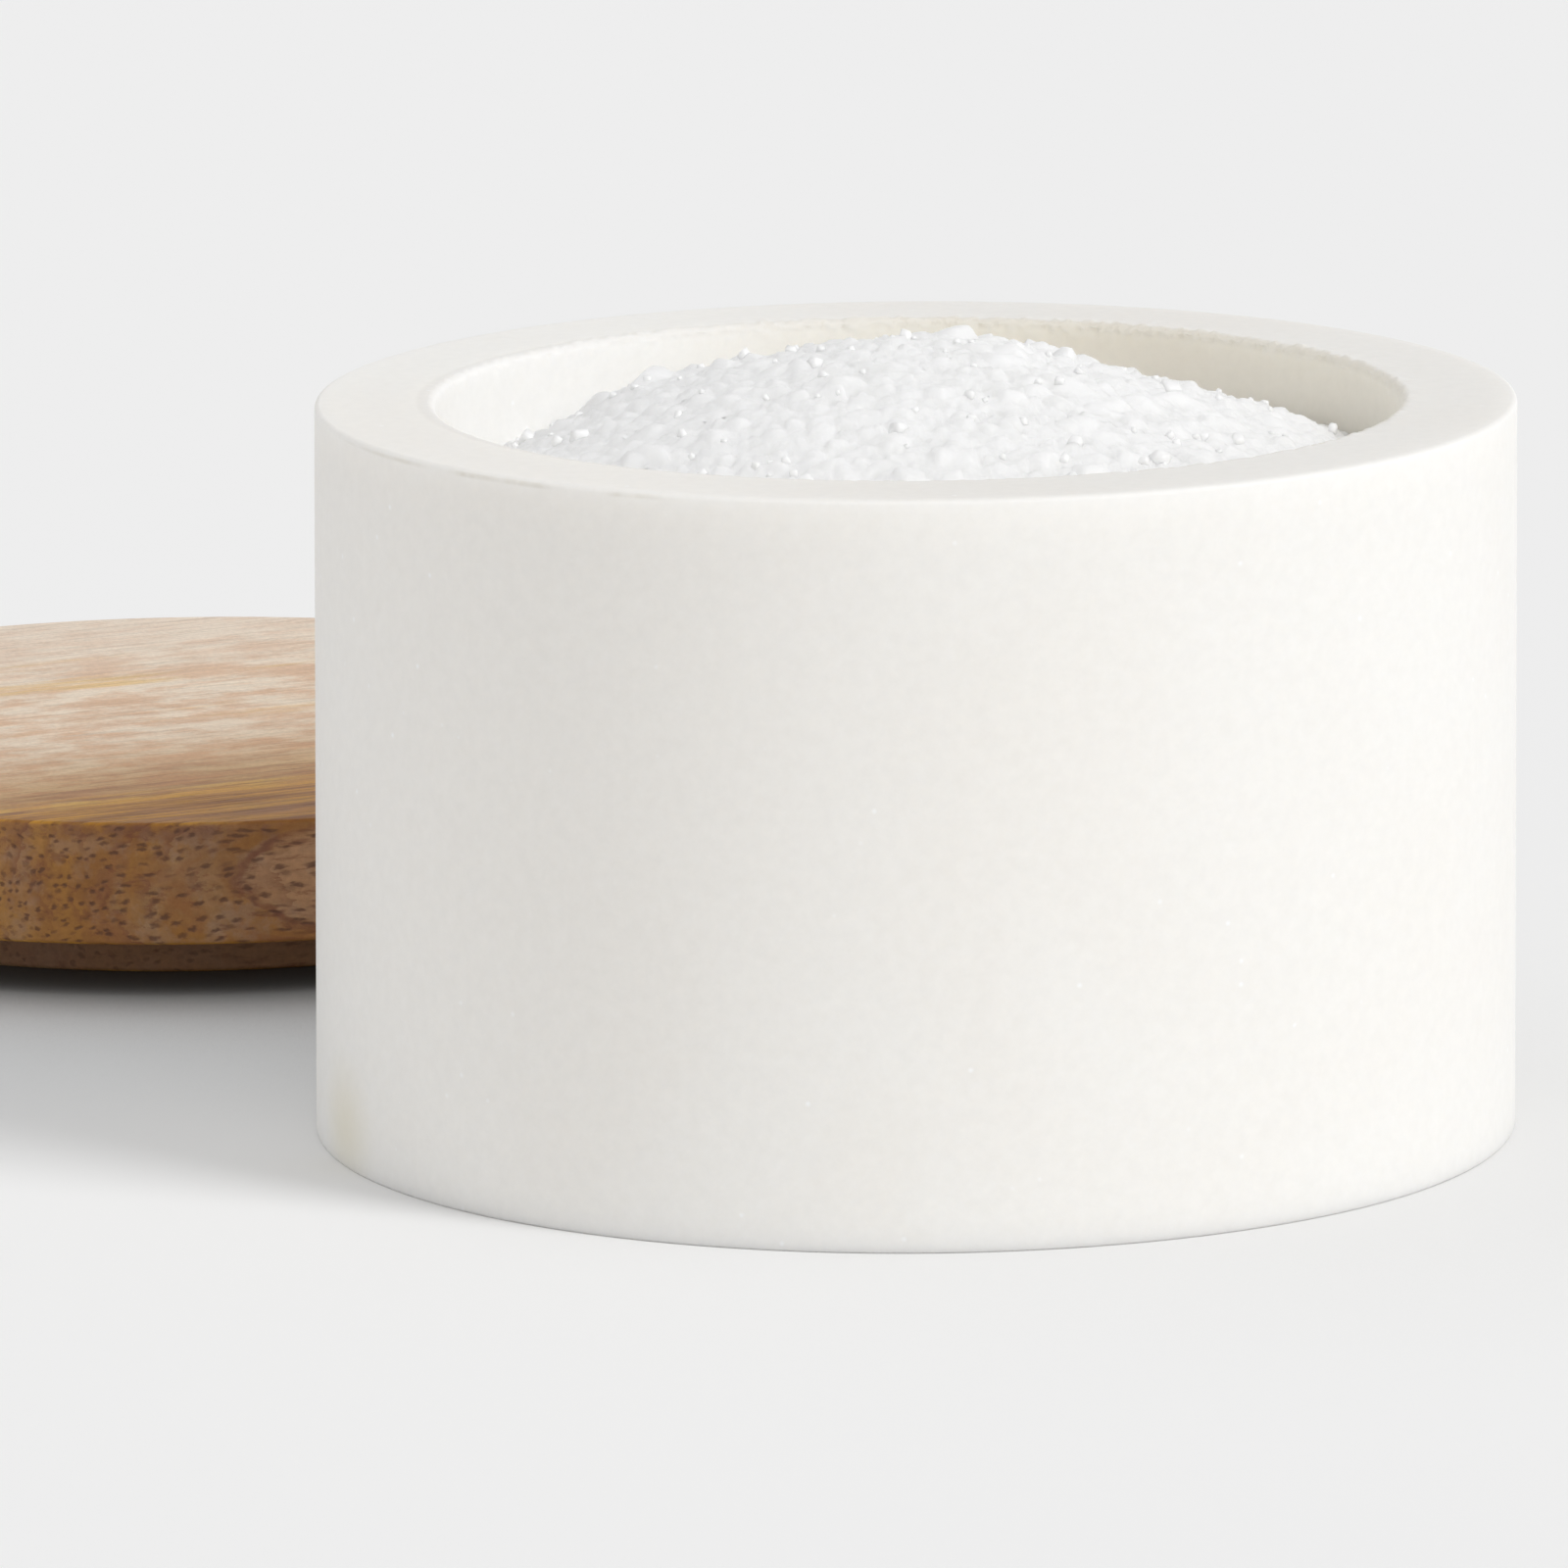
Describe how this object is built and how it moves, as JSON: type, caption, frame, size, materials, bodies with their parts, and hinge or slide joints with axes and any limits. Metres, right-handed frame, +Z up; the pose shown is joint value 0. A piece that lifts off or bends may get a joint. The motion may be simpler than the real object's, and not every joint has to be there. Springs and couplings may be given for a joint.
{
  "type": "salt cellar",
  "caption": "Round thick-walled marble salt cellar heaped with coarse salt, its flat turned wooden lid with a locating plug lying on the table beside it.",
  "frame": {"origin": "middle of the bowl's flat base, on the table", "axes": "+Z up out of the bowl's mouth, +X to the right and +Y away as the bowl is seen in the picture; the lid lies behind and to the left"},
  "size_m": [0.1689, 0.2051, 0.0688],
  "materials": {
    "marble": "satin",
    "salt": "matte",
    "wood": "satin"
  },
  "bodies": {
    "bowl": {"bowl": "marble", "salt_heap": "salt"},
    "lid": {"lid": "wood"}
  },
  "joints": [
    {"name": "lid_lift", "type": "slide", "parent": "bowl", "child": "lid", "axis": [0, 0, 1], "range_m": [0, 0.1]}
  ]
}
